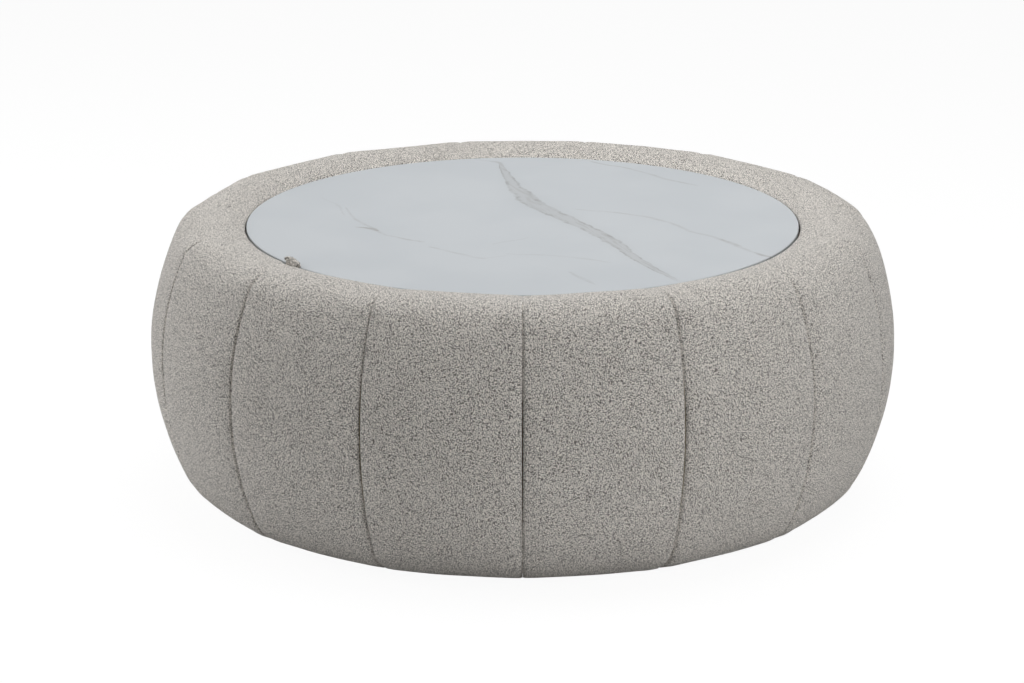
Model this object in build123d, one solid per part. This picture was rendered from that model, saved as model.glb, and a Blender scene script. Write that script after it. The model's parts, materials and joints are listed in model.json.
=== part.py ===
# Round storage ottoman with an inset stone top that lifts out by a fabric loop.
# Millimetres, +Z up. The origin is on the floor under the middle of the ottoman,
# and the viewer stands at -Y, facing a seam between two panels.
import os
from math import atan2, cos, degrees, hypot, radians, sin, sqrt, tan

from build123d import *

# Lid: the stone, the board under it and the pads it rests on
stone_radius = 370.0
stone_thickness = 10.0
stone_edge_ease = 1.2
lid_gap = 4.5
board_inset = 8.0
board_thickness = 12.0
pad_count = 8
pad_thickness = 2.0
pad_width_share = 0.8
lid_seat_clearance = 0.3

# Pull tab: a strip of the cover fabric folded into a loop, its tail under the stone
tab_left_of_front = 52.6
strap_width = 25.0
strap_layer = 1.4
strap_clearance = 0.35
strap_bend = 1.2
tail_hold = 35.0
tab_lift = 2.0
loop_length = 9.5
loop_head_radius = 2.6
loop_slit_start_share = 0.35
loop_slit_taper_share = 0.25
tab_lean = 50.0
rebate_depth = 5.0
tab_screw_radius = 1.25
tab_screw_head_radius = 2.6
tab_screw_head_height = 1.6
tab_screw_spread_share = 0.5
tab_screw_place_share = 0.4

# Upholstered body, whose widest level is the belly
panel_count = 15
recess_to_crown = 58.5
crown_to_belly = 67.0
hem_to_belly = 88.0
belly_height = 195.0
crown_rise = 171.0
stone_drop = 11.0
hem_turn_under = 26.0
cover_thickness = 3.5
panel_swell = 1.5
seam_rounding = 3.0
soft_clearance = 0.3

# How tightly the outline turns, as shares of the width that each turn has
heel_share = 0.68
shoulder_share = 0.6
roll_share = 2.4
lip_share = 0.17
rim_ring_ease_share = 0.5

# Wooden frame inside the upholstery
base_board_thickness = 15.0
ledge_thickness = 15.0
ledge_overlap = 30.0
ledge_lip = 14.0
storage_wall_thickness = 4.0
storage_floor_thickness = 5.0
drum_skin_thickness = 3.0
upright_count = 10
upright_thickness = 18.0
rim_foam = 13.0
wood_clearance = 0.3

# Feet, cloth and fasteners underneath
hem_clearance = 8.0
dust_cover_thickness = 0.8
dust_cover_overlap = 12.0
glide_count = 5
glide_radius = 15.0
glide_edge_ease = 1.5
glide_circle_inset = 57.0
glide_screw_sink = 4.5
screw_radius = 2.0
screw_head_radius = 4.0
screw_head_height = 3.0
screw_hole_clearance = 0.1
upright_bite = 28.0
board_bite_share = 0.75

# How far a cutting tool runs past what it cuts, and a turned panel past its seams
overrun = 5.0
panel_turn_share = 1.5

# Outline radii that follow
heel_radius = heel_share * hem_to_belly
shoulder_radius = shoulder_share * crown_to_belly
roll_radius = roll_share * recess_to_crown
lip_radius = lip_share * recess_to_crown

# Radii that follow
recess_radius = stone_radius + lid_gap
crown_radius = recess_radius + recess_to_crown
body_radius = crown_radius + crown_to_belly
hem_radius = body_radius - hem_to_belly
board_radius = stone_radius - board_inset
ledge_inner_radius = stone_radius - ledge_overlap
storage_radius = ledge_inner_radius + ledge_lip
storage_outer_radius = storage_radius + storage_wall_thickness
frame_radius = hem_radius
drum_inner_radius = frame_radius - drum_skin_thickness
rim_inner_radius = recess_radius + cover_thickness + soft_clearance
glide_circle = frame_radius - glide_circle_inset

# Levels that follow, from the floor up
hem_z = hem_clearance
base_bottom = hem_z + cover_thickness + soft_clearance
base_top = base_bottom + base_board_thickness
belly_z = hem_z + belly_height
crown_z = belly_z + crown_rise
stone_top_z = crown_z - stone_drop
stone_bottom = stone_top_z - stone_thickness
board_bottom = stone_bottom - board_thickness
pad_bottom = board_bottom - pad_thickness
ledge_top = pad_bottom - lid_seat_clearance
ledge_bottom = ledge_top - ledge_thickness
rim_top = crown_z - cover_thickness - soft_clearance - rim_foam

# Angles that follow
panel_angle = 360 / panel_count
front = -90.0
tab_angle = front - tab_left_of_front
between_uprights = front + 180 / upright_count

# Tab places that follow: its hinge line, and the tail in its rebate
strap_pair = 2 * strap_layer
hinge_radius = stone_radius + strap_clearance + strap_layer
hinge_z = stone_top_z + tab_lift
rebate_z = stone_bottom - rebate_depth
tail_inner_radius = board_radius - tail_hold


def ring(outer, inner, bottom, top):
    """A flat ring or a round wall between two levels."""
    return disc(outer, bottom, top) - disc(inner, bottom - overrun, top + overrun)


def disc(radius, bottom, top):
    return Pos(0, 0, bottom) * extrude(Circle(radius), top - bottom)


def around(shape, count, start=front):
    """Copies of a shape that is drawn at angle zero, spaced evenly round the middle."""
    return [Rot(0, 0, start + 360 * i / count) * shape for i in range(count)]


def numbered(name, shapes):
    return {f"{name}_{i + 1:02d}": shape for i, shape in enumerate(shapes)}


def large_arc(width, height, small_radius):
    """Radius of the arc that stands upright at the belly and runs on into a small arc.

    The small arc lies flat at its other end, width in from the belly and height from it.
    """
    return (width**2 + height**2 - 2 * height * small_radius) / (2 * (width - small_radius))


def bearing(start, end):
    return degrees(atan2(end[1] - start[1], end[0] - start[0]))


def side_arcs():
    """The side's outline from the hem over the belly and the crown down into the recess.

    Each arc is a centre, a radius and the two angles it runs between, in the plane of
    radius and height. All turn the same way and each is tangent to the next.
    """
    lower_radius = large_arc(hem_to_belly, belly_height, heel_radius)
    upper_radius = large_arc(crown_to_belly, crown_rise, shoulder_radius)

    heel = (hem_radius, hem_z + heel_radius)
    lower = (body_radius - lower_radius, belly_z)
    upper = (body_radius - upper_radius, belly_z)
    shoulder = (crown_radius, crown_z - shoulder_radius)
    roll = (crown_radius, crown_z - roll_radius)
    lip_r = recess_radius + lip_radius
    lip_rise = sqrt((roll_radius - lip_radius) ** 2 - (crown_radius - lip_r) ** 2)
    lip = (lip_r, roll[1] + lip_rise)

    low_turn = bearing(lower, heel)
    high_turn = bearing(upper, shoulder)
    lip_turn = bearing(roll, lip)
    return [
        (heel, heel_radius, -90, low_turn),
        (lower, lower_radius, low_turn, 0),
        (upper, upper_radius, 0, high_turn),
        (shoulder, shoulder_radius, high_turn, 90),
        (roll, roll_radius, 90, lip_turn),
        (lip, lip_radius, lip_turn, 180),
    ]


def padded_section(inset, hem_end_radius, closing):
    """The body's section at one side, set in from its skin, closed through given points."""
    arcs = [
        CenterArc(centre, radius - inset, start, end - start)
        for centre, radius, start, end in side_arcs()
    ]
    wall = recess_radius + inset
    points = [arcs[-1] @ 1, (wall, ledge_top + soft_clearance), *closing]
    points += [(hem_end_radius, hem_z + inset), arcs[0] @ 0]
    outline = [Line(a, b) for a, b in zip(points, points[1:])]
    return Plane.XZ * make_face(arcs + outline)


def swell_shift():
    """How far each panel's own axis stands out from the middle, so that it swells between seams."""
    half = radians(panel_angle / 2)
    seam_radius = body_radius - panel_swell
    reach = 2 * (body_radius - seam_radius * cos(half))
    return (body_radius**2 - seam_radius**2) / reach


def swept_panel(section):
    """A section turned about the panel's own axis and cut off at its two seams."""
    shift = swell_shift()
    half = radians(panel_angle / 2)
    turn = panel_turn_share * panel_angle
    axis = Axis((shift, 0, 0), (0, 0, 1))
    turned = revolve(section.rotate(axis, -turn / 2), axis, turn)
    reach = body_radius + overrun
    across = reach * tan(half)
    wedge = Polyline((0, 0), (reach, -across), (reach, across), close=True)
    return turned & extrude(make_face(wedge), crown_z + overrun)


def seam_edges(shape):
    """The long outer edges of a panel, where it meets the panels beside it."""
    half = radians(panel_angle / 2)
    edges = ShapeList()
    for side in (-1, 1):
        across = Vector(-sin(side * half), cos(side * half), 0)
        cut = min(shape.faces(), key=lambda face: abs(face.center().dot(across)))
        inside = min(cut.edges(), key=lambda edge: hypot((edge @ 0.5).X, (edge @ 0.5).Y))
        edges += [edge for edge in cut.edges() if edge != inside]
    return edges


def cover_panels():
    """Fabric panels, their long edges rounded into the seams, from the hem to the recess."""
    hem_end = hem_radius - hem_turn_under
    bulk = swept_panel(padded_section(0, hem_end, []))
    bulk = bulk.fillet(seam_rounding, seam_edges(bulk))
    behind = hem_end - overrun
    inner = (recess_radius - overrun, ledge_top + soft_clearance)
    core = swept_panel(padded_section(cover_thickness, behind, [inner]))
    return around(bulk - core, panel_count, front + panel_angle / 2)


def foam_channels():
    """One pad behind each panel, over the drum and over the rim ring."""
    inset = cover_thickness + soft_clearance
    behind = drum_inner_radius - overrun
    pad = swept_panel(padded_section(inset, behind, []))
    pad -= disc(frame_radius + soft_clearance, hem_z, rim_top + soft_clearance)
    return around(pad, panel_count, front + panel_angle / 2)


def screw(radius, length, head_radius, head_height):
    """A screw pointing down, with the underside of its head at height zero."""
    return extrude(Circle(head_radius), head_height) + extrude(Circle(radius), -length)


def wood_screw(length):
    return screw(screw_radius, length, screw_head_radius, screw_head_height)


def screw_room(length):
    """The hole for a wood screw whose head is sunk flush."""
    room = screw_hole_clearance
    shank = screw_radius + room
    return screw(shank, length + room, screw_head_radius + room, screw_head_height + overrun)


def upright_reach():
    """Inner and outer radius of an upright, between the storage wall and the drum skin."""
    corner = sqrt(drum_inner_radius**2 - (upright_thickness / 2) ** 2)
    return storage_outer_radius + wood_clearance, corner - wood_clearance


def upright_screws(shape):
    """Into each upright, from below through the base board and from above through the ledge ring.

    The shape is a function of the length under the head: a screw, or the room for one.
    """
    low_length = base_board_thickness - screw_head_height + upright_bite
    high_length = ledge_thickness - screw_head_height + upright_bite
    spot = sum(upright_reach()) / 2
    low = Pos(spot, 0, base_bottom + screw_head_height) * Rot(180, 0, 0) * shape(low_length)
    high = Pos(spot, 0, ledge_top - screw_head_height) * shape(high_length)
    return around(low, upright_count) + around(high, upright_count)


def rim_screws(shape):
    """From above through the rim ring into the ledge ring, between the uprights."""
    length = rim_top - ledge_top - screw_head_height + board_bite_share * ledge_thickness
    spot = (rim_inner_radius + frame_radius) / 2
    one = Pos(spot, 0, rim_top - screw_head_height) * shape(length)
    return around(one, upright_count, between_uprights)


def glide_screws(shape):
    """Up through each glide into the base board."""
    length = base_bottom - glide_screw_sink + board_bite_share * base_board_thickness
    one = Pos(glide_circle, 0, glide_screw_sink) * Rot(180, 0, 0) * shape(length)
    return around(one, glide_count, between_uprights)


def base_board():
    board = disc(frame_radius, base_bottom, base_top)
    return board - upright_screws(screw_room) - glide_screws(screw_room)


def uprights():
    inner, outer = upright_reach()
    plank = Box(outer - inner, upright_thickness, ledge_bottom - base_top)
    plank = Pos((inner + outer) / 2, 0, (base_top + ledge_bottom) / 2) * plank
    rooms = upright_screws(screw_room)
    return [board - rooms for board in around(plank, upright_count)]


def ledge_ring():
    shape = ring(frame_radius, ledge_inner_radius, ledge_bottom, ledge_top)
    return shape - upright_screws(screw_room) - rim_screws(screw_room)


def rim_ring():
    shape = ring(frame_radius, rim_inner_radius, ledge_top, rim_top)
    rim_edges = shape.edges().filter_by(GeomType.CIRCLE).group_by(Axis.Z)[-1]
    shape = chamfer(rim_edges.sort_by(SortBy.RADIUS)[0], rim_ring_ease_share * lip_radius)
    return shape - rim_screws(screw_room)


def dust_cover():
    radius = hem_radius - hem_turn_under + dust_cover_overlap
    top = hem_z - soft_clearance
    cloth = disc(radius, top - dust_cover_thickness, top)
    hole = Pos(glide_circle, 0, 0) * disc(glide_radius + soft_clearance, 0, base_bottom)
    return cloth - around(hole, glide_count, between_uprights)


def glides():
    foot = disc(glide_radius, 0, base_bottom)
    foot = chamfer(foot.edges().filter_by(GeomType.CIRCLE).sort_by(Axis.Z)[0], glide_edge_ease)
    feet = around(Pos(glide_circle, 0, 0) * foot, glide_count, between_uprights)
    return [one - room for one, room in zip(feet, glide_screws(screw_room))]


def stone_top():
    slab = disc(stone_radius, stone_bottom, stone_top_z)
    return fillet(slab.edges().filter_by(GeomType.CIRCLE), stone_edge_ease)


def tab_screws(clearance=0.0):
    """The two screws that hold the tail in its rebate, or their holes."""
    under_head = rebate_z + strap_pair
    length = strap_pair + board_bite_share * (rebate_z - board_bottom)
    one = screw(
        tab_screw_radius + clearance,
        length + clearance,
        tab_screw_head_radius,
        tab_screw_head_height,
    )
    place = tail_inner_radius + tab_screw_place_share * tail_hold
    across = tab_screw_spread_share * strap_width / 2
    return [at_tab(Pos(place, side * across, under_head) * one) for side in (-1, 1)]


def at_tab(shape):
    """Turns what is drawn at angle zero round to the tab's place."""
    return Rot(0, 0, tab_angle) * shape


def lid_board():
    width = strap_width + 2 * strap_clearance
    run = tail_hold + strap_clearance + overrun
    middle = board_radius + overrun - run / 2
    height = rebate_depth + overrun
    rebate = Pos(middle, 0, rebate_z + height / 2) * Box(run, width, height)
    board = disc(board_radius, board_bottom, stone_bottom) - at_tab(rebate)
    return board - tab_screws(screw_hole_clearance)


def lid_pads():
    spot = (ledge_inner_radius + board_radius) / 2
    radius = pad_width_share * (board_radius - ledge_inner_radius) / 2
    pad = Pos(spot, 0, 0) * disc(radius, pad_bottom, board_bottom)
    return around(pad, pad_count)


def tab_tail():
    """The strap's two layers, lying in the rebate and turned up between stone and rim."""
    outer = hinge_radius + strap_layer
    inner = hinge_radius - strap_layer
    top = hinge_z - strap_layer - soft_clearance
    end = tail_inner_radius
    high = rebate_z + strap_pair
    bend = strap_bend + strap_pair
    far = FilletPolyline((end, rebate_z), (outer, rebate_z), (outer, top), radius=bend)
    near = FilletPolyline((inner, top), (inner, high), (end, high), radius=strap_bend)
    outline = [far, Line(far @ 1, near @ 0), near, Line(near @ 1, far @ 0)]
    edges = [edge for line in outline for edge in line.edges()]
    strap = extrude(Plane.XZ * make_face(edges), strap_width / 2, both=True)
    return at_tab(strap) - tab_screws(screw_hole_clearance)


def pull_loop():
    """The folded loop above its root, leaning in over the edge of the stone."""
    slit_radius = loop_head_radius - strap_layer
    head = Pos(0, loop_length) * Circle(loop_head_radius)
    slit_head = Pos(0, loop_length) * Circle(slit_radius)
    slit_root = Pos(0, loop_slit_start_share * loop_length) * Circle(loop_slit_taper_share * slit_radius)
    outline = make_hull([*Circle(strap_layer).edges(), *head.edges()])
    outline -= make_hull([*slit_root.edges(), *slit_head.edges()])
    loop = extrude(Plane.XZ * outline, strap_width / 2, both=True)
    return at_tab(Pos(hinge_radius, 0, hinge_z) * Rot(0, -tab_lean, 0) * loop)


def nodes():
    """Every sub-part by its name. Alike fasteners, pads and glides share one node each."""
    return {
        "stone_top": stone_top(),
        "lid_board": lid_board(),
        "lid_pads": lid_pads(),
        "tab_tail": tab_tail(),
        "tab_screws": tab_screws(),
        "pull_tab": pull_loop(),
        "base_board": base_board(),
        "storage_floor": disc(
            storage_radius - wood_clearance, base_top, base_top + storage_floor_thickness
        ),
        "storage_wall": ring(storage_outer_radius, storage_radius, base_top, ledge_bottom),
        "drum_skin": ring(frame_radius, drum_inner_radius, base_top, ledge_bottom),
        "ledge_ring": ledge_ring(),
        "rim_ring": rim_ring(),
        "frame_screws": upright_screws(wood_screw) + rim_screws(wood_screw),
        "dust_cover": dust_cover(),
        "glides": glides(),
        "glide_screws": glide_screws(wood_screw),
        **numbered("upright", uprights()),
        **numbered("foam_channel", foam_channels()),
        **numbered("cover_panel", cover_panels()),
    }


def solids_of(shape):
    shapes = shape if isinstance(shape, list) else [shape]
    return [solid for one in shapes for solid in one.solids()]


os.makedirs("parts", exist_ok=True)
for name, shape in nodes().items():
    export_step(Compound(solids_of(shape)), f"parts/{name}.step")
print("size", 2 * body_radius, "across and", crown_z, "high")
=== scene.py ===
import json
from math import atan2, cos, hypot, pi, radians, sin, sqrt

import bmesh
import bpy
from mathutils import Matrix, Vector, noise


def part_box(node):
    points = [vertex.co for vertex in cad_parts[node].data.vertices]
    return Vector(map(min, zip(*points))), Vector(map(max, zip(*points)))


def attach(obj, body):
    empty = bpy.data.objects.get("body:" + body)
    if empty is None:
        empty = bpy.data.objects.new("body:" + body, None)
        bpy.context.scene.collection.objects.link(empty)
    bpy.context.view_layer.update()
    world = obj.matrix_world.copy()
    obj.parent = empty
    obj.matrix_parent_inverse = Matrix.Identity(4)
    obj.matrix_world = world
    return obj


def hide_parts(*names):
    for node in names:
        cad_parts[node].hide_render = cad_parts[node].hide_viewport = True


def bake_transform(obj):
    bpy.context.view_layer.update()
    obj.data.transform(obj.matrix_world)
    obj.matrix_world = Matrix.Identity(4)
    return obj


# Round storage ottoman with a stone lid in its soft rim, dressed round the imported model.
# Metres, +Z up, the viewer at -Y.
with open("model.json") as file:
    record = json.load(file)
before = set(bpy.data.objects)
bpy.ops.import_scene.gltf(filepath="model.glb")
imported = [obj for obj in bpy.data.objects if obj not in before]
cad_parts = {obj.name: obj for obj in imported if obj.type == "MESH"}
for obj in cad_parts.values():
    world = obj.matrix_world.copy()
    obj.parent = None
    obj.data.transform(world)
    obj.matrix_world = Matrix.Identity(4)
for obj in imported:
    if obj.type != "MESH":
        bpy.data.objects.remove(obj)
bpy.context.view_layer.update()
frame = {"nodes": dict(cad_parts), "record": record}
print("frame loaded")

scene = bpy.context.scene
scene.view_settings.view_transform = "Standard"


# Shader helpers
class Wire:
    # One socket that can stand in a sum
    def __init__(self, paint, socket):
        self.paint = paint
        self.socket = socket

    def maths(self, operation, first, second=0.0):
        return self.paint.add("ShaderNodeMath", {"operation": operation}, {0: first, 1: second})

    def __add__(self, other):
        return self.maths("ADD", self, other)

    def __radd__(self, other):
        return self.maths("ADD", other, self)

    def __sub__(self, other):
        return self.maths("SUBTRACT", self, other)

    def __rsub__(self, other):
        return self.maths("SUBTRACT", other, self)

    def __mul__(self, other):
        return self.maths("MULTIPLY", self, other)

    def __rmul__(self, other):
        return self.maths("MULTIPLY", other, self)

    def __truediv__(self, other):
        return self.maths("DIVIDE", self, other)

    def __rtruediv__(self, other):
        return self.maths("DIVIDE", other, self)

    def __abs__(self):
        return self.maths("ABSOLUTE", self)


class Paint:
    # A material under construction: add() makes every node in it
    def __init__(self, owner):
        self.owner = owner
        owner.use_nodes = True
        self.tree = owner.node_tree
        self.tree.nodes.clear()

    def add(self, kind, settings=None, sockets=None, out=0):
        node = self.tree.nodes.new(kind)
        for key, value in (settings or {}).items():
            if key == "stops":
                self.setStops(node.color_ramp, value)
            elif key == "ramp":
                node.color_ramp.interpolation = value
            else:
                setattr(node, key, value)
        for key, value in (sockets or {}).items():
            if isinstance(value, Wire):
                self.tree.links.new(value.socket, node.inputs[key])
            else:
                node.inputs[key].default_value = value
        return Wire(self, node.outputs[out]) if node.outputs else None

    def setStops(self, ramp, stops):
        while len(ramp.elements) > 1:
            ramp.elements.remove(ramp.elements[-1])
        ramp.elements[0].position = stops[0][0]
        for place, shade in stops[1:]:
            ramp.elements.new(place)
        for element, (place, shade) in zip(ramp.elements, stops):
            element.position = place
            element.color = (shade, shade, shade, 1) if isinstance(shade, float) else (*shade, 1)

    def place(self):
        return self.add("ShaderNodeTexCoord", out="Object")

    def part(self, vector, axis):
        return self.add("ShaderNodeSeparateXYZ", None, {0: vector}, axis)

    def mapped(self, vector, location=(0, 0, 0), turn=0.0, scale=(1, 1, 1)):
        settings = {"vector_type": "TEXTURE"}
        sockets = {"Vector": vector, "Location": location, "Rotation": (0, 0, turn), "Scale": scale}
        return self.add("ShaderNodeMapping", settings, sockets)

    def cloud(self, vector, size, detail=2.0, roughness=0.5, out="Fac"):
        # Soft random patches of about the given size in metres
        sockets = {"Vector": vector, "Scale": 1 / size, "Detail": detail, "Roughness": roughness}
        return self.add("ShaderNodeTexNoise", None, sockets, out)

    def cells(self, vector, size, out="Distance"):
        return self.add("ShaderNodeTexVoronoi", None, {"Vector": vector, "Scale": 1 / size}, out)

    def sine(self, value):
        return self.add("ShaderNodeMath", {"operation": "SINE"}, {0: value})

    def levelness(self):
        # 1 where the surface faces up or down, 0 where it faces sideways
        facing = self.part(self.add("ShaderNodeNewGeometry", out="Normal"), 2)
        return self.between(abs(facing), 0.5, 0.8)

    def between(self, value, low, high, bottom=0.0, top=1.0):
        # Eases from bottom to top while the value goes from low to high
        settings = {"interpolation_type": "SMOOTHSTEP"}
        sockets = {"Value": value, 1: low, 2: high, 3: bottom, 4: top}
        return self.add("ShaderNodeMapRange", settings, sockets)

    def mix(self, factor, first, second):
        # Colours as (red, green, blue) or wires
        colours = [c if isinstance(c, Wire) else (*c, 1) for c in (first, second)]
        sockets = {0: factor, 6: colours[0], 7: colours[1]}
        return self.add("ShaderNodeMix", {"data_type": "RGBA"}, sockets, 2)

    def bump(self, height, depth, strength=1.0):
        sockets = {"Height": height, "Distance": depth, "Strength": strength}
        return self.add("ShaderNodeBump", None, sockets)

    def surface(self, colour, roughness, **others):
        sockets = {"Base Color": colour if isinstance(colour, Wire) else (*colour, 1)}
        sockets["Roughness"] = roughness
        sockets.update({key.replace("_", " "): value for key, value in others.items()})
        return self.add("ShaderNodeBsdfPrincipled", None, sockets)

    def show(self, shader):
        self.add("ShaderNodeOutputMaterial", None, {"Surface": shader})
        return self.owner


def newPaint(name):
    return Paint(bpy.data.materials.new(name))


# Finishes. Colours are red, green and blue, and sizes are in metres
fabric = {
    "pale": (1.000, 0.950, 0.885),
    # the gaps' colour, mostly painted shade between the nubs
    "deep": (0.070, 0.063, 0.053),
    "brightness": -0.17,
    "shadeTone": 0.2,      # how much each of these lightens or darkens it
    "fibreTone": 0.3,
    "patchTone": 0.04,
    "nub": 0.00112,
    "nubEdge": (0.42, 0.66),       # where a nub falls off to the gap beside it, which is painted darker as painted shade
    "stretch": 1.25,       # nubs are a little taller than wide
    "wander": (0.003, 0.0012),     # and off their rows: over what length, and how far
    "fibre": 0.0005,
    "patch": 0.05,
    "relief": 0.0009,
}


def coverFabric():
    # Looped yarn: each nub has its own tone and stands up from the ones beside it, and the gaps
    # between nubs are painted dark as painted shade
    paint = newPaint("coverFabric")
    place = paint.place()
    wanderSize, wander = fabric["wander"]
    drift = paint.cloud(place, wanderSize, 2.0, out="Color")
    drift = paint.add("ShaderNodeVectorMath", {"operation": "MULTIPLY_ADD"},
                      {0: drift, 1: (wander,) * 3, 2: place})
    drift = paint.mapped(drift, scale=(1, 1, fabric["stretch"]))
    nub = paint.cells(drift, fabric["nub"])
    shade = paint.part(paint.cells(drift, fabric["nub"], "Color"), 0)
    fibre = paint.cloud(place, fabric["fibre"], 3.0, 0.7)
    patch = paint.cloud(place, fabric["patch"], 3.0)
    height = paint.between(nub, *fabric["nubEdge"], 1.0, 0.0)
    # The height also darkens the colour in the gaps between nubs: painted shade
    tone = shade * fabric["shadeTone"] + height + fibre * fabric["fibreTone"]
    tone = tone + patch * fabric["patchTone"] + fabric["brightness"]
    colour = paint.mix(tone, fabric["deep"], fabric["pale"])
    normal = paint.bump(height * 0.7 + fibre * 0.4, fabric["relief"])
    return paint.show(paint.surface(colour, 0.95, Normal=normal, Sheen_Weight=0.25,
                                    Sheen_Roughness=0.5, Specular_IOR_Level=0.2))


foamLook = {
    "pale": (0.82, 0.76, 0.56),
    "deep": (0.72, 0.63, 0.42),
    # the pores' hollows, painted darker as painted shade
    "paintedPoreShade": (0.48, 0.40, 0.24),
    "pore": 0.0016,
    "patch": 0.03,
    "relief": 0.0008,
}


def foam():
    paint = newPaint("foam")
    place = paint.place()
    pore = paint.cells(place, foamLook["pore"])
    patch = paint.cloud(place, foamLook["patch"], 2.0)
    colour = paint.mix(patch, foamLook["deep"], foamLook["pale"])
    # Each pore's hollow is painted darker: painted shade
    colour = paint.mix(paint.between(pore, 0.1, 0.4), foamLook["paintedPoreShade"], colour)
    normal = paint.bump(pore, foamLook["relief"])
    return paint.show(paint.surface(colour, 0.95, Normal=normal, Specular_IOR_Level=0.2))


feltLook = {
    "pale": (0.15, 0.15, 0.155),
    "deep": (0.045, 0.045, 0.047),
    "fibre": 0.0009,
    "patch": 0.006,
    "patchShare": 0.3,
    "detail": 4.0,
    "relief": 0.0006,
    "roughness": 1.0,
    "sheen": 0.3,
}
hardboardLook = {
    "pale": (0.33, 0.21, 0.12),
    "deep": (0.17, 0.095, 0.045),
    "fibre": 0.0015,
    "patch": 0.02,
    "patchShare": 0.4,
    "detail": 5.0,
    "relief": 0.0003,
    "roughness": 0.7,
    "sheen": 0.0,
}


def mattedFibre(name, look):
    paint = newPaint(name)
    place = paint.place()
    fibre = paint.cloud(place, look["fibre"], look["detail"], 0.7)
    patch = paint.cloud(place, look["patch"], look["detail"] - 2)
    tone = fibre * (1 - look["patchShare"]) + patch * look["patchShare"]
    colour = paint.mix(tone, look["deep"], look["pale"])
    normal = paint.bump(fibre, look["relief"])
    return paint.show(paint.surface(colour, look["roughness"], Normal=normal,
                                    Sheen_Weight=look["sheen"]))


dustLook = {
    "pale": (0.045, 0.045, 0.047),
    "deep": (0.012, 0.012, 0.013),
    "diamond": 0.0016,
    "fibre": 0.0012,
    "relief": 0.0004,
}


def dustCloth():
    # Spun cloth, pressed with a small diamond pattern
    paint = newPaint("dustCloth")
    place = paint.place()
    along = paint.part(place, 0)
    across = paint.part(place, 1)
    pitch = pi / dustLook["diamond"]
    press = paint.sine((along + across) * pitch) * paint.sine((along - across) * pitch)
    press = paint.between(press, 0.3, 0.8)
    fibre = paint.cloud(place, dustLook["fibre"], 4.0, 0.7)
    colour = paint.mix(fibre, dustLook["deep"], dustLook["pale"])
    normal = paint.bump(fibre * 0.5 - press * 0.5, dustLook["relief"])
    return paint.show(paint.surface(colour, paint.between(press, 0.0, 1.0, 0.9, 0.6), Normal=normal))


plywoodLook = {
    "pale": (0.62, 0.45, 0.27),
    "deep": (0.40, 0.25, 0.13),
    "grain": (0.30, 0.012, 0.30),
    "streak": (0.05, 0.0015, 0.05),
    "edgeGrain": (0.004, 0.004, 0.0008),
    "ply": 0.0032,
    "relief": 0.0003,
}


def plywood():
    # Long grain on the faces, and thin plies one over another on the edges
    paint = newPaint("plywood")
    place = paint.place()
    flat = paint.levelness()
    grain = paint.cloud(paint.mapped(place, scale=plywoodLook["grain"]), 1.0, 5.0, 0.65)
    streak = paint.cloud(paint.mapped(place, scale=plywoodLook["streak"]), 1.0, 3.0, 0.6)
    rough = paint.cloud(paint.mapped(place, scale=plywoodLook["edgeGrain"]), 1.0, 3.0)
    ply = paint.sine(paint.part(place, 2) * (2 * pi / plywoodLook["ply"]))
    edge = paint.between(ply, -0.3, 0.3) * 0.7 + rough * 0.4
    tone = (grain * 0.65 + streak * 0.5) * flat + edge * (1 - flat)
    colour = paint.mix(paint.between(tone, 0.2, 0.95), plywoodLook["deep"], plywoodLook["pale"])
    normal = paint.bump(streak * flat + edge * (1 - flat), plywoodLook["relief"])
    return paint.show(paint.surface(colour, 0.65, Normal=normal))


liningLook = {
    "pale": (0.27, 0.26, 0.25),
    "deep": (0.085, 0.08, 0.078),
    "thread": 0.0014,
    "fleck": 0.0025,
    "wallRadius": 0.354,
    "relief": 0.0003,
}


def linedBoard():
    # The storage space's lining, a dark close-woven cloth glued to its board
    paint = newPaint("linedBoard")
    place = paint.place()
    east = paint.part(place, 0)
    north = paint.part(place, 1)
    bearing = paint.add("ShaderNodeMath", {"operation": "ARCTAN2"}, {0: north, 1: east})
    flat = paint.levelness()
    pitch = 2 * pi / liningLook["thread"]
    warp = east * flat + bearing * liningLook["wallRadius"] * (1 - flat)
    weft = north * flat + paint.part(place, 2) * (1 - flat)
    weave = paint.sine(warp * pitch) * paint.sine(weft * pitch) * 0.5 + 0.5
    fleck = paint.cloud(place, liningLook["fleck"], 4.0, 0.7)
    colour = paint.mix(weave * 0.4 + fleck * 0.6, liningLook["deep"], liningLook["pale"])
    normal = paint.bump(weave + fleck * 0.5, liningLook["relief"])
    return paint.show(paint.surface(colour, 0.9, Normal=normal, Sheen_Weight=0.15))


plasticLook = {
    "worn": (0.10, 0.10, 0.10),
    "deep": (0.025, 0.025, 0.026),
    "grain": 0.0008,
    "scuff": (0.02, 0.001, 0.01),
    "relief": 0.0002,
}


def glidePlastic():
    paint = newPaint("glidePlastic")
    place = paint.place()
    grain = paint.cloud(place, plasticLook["grain"], 3.0, 0.6)
    scuff = paint.cloud(paint.mapped(place, scale=plasticLook["scuff"]), 1.0, 3.0)
    worn = paint.between(scuff, 0.55, 0.75)
    colour = paint.mix(worn * 0.5, plasticLook["deep"], plasticLook["worn"])
    normal = paint.bump(grain, plasticLook["relief"], 0.5)
    return paint.show(paint.surface(colour, 0.42 + worn * 0.2, Normal=normal))


steelLook = {
    "pale": (0.72, 0.72, 0.70),
    "deep": (0.50, 0.49, 0.46),
    "tarnish": 0.004,
    "grain": 0.0006,
    "relief": 0.0001,
}


def screwSteel():
    paint = newPaint("screwSteel")
    place = paint.place()
    tarnish = paint.cloud(place, steelLook["tarnish"], 4.0, 0.6)
    colour = paint.mix(tarnish, steelLook["deep"], steelLook["pale"])
    normal = paint.bump(paint.cloud(place, steelLook["grain"], 2.0), steelLook["relief"], 0.4)
    return paint.show(paint.surface(colour, paint.between(tarnish, 0.3, 0.7, 0.25, 0.45),
                                    Metallic=1.0, Normal=normal))


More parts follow.
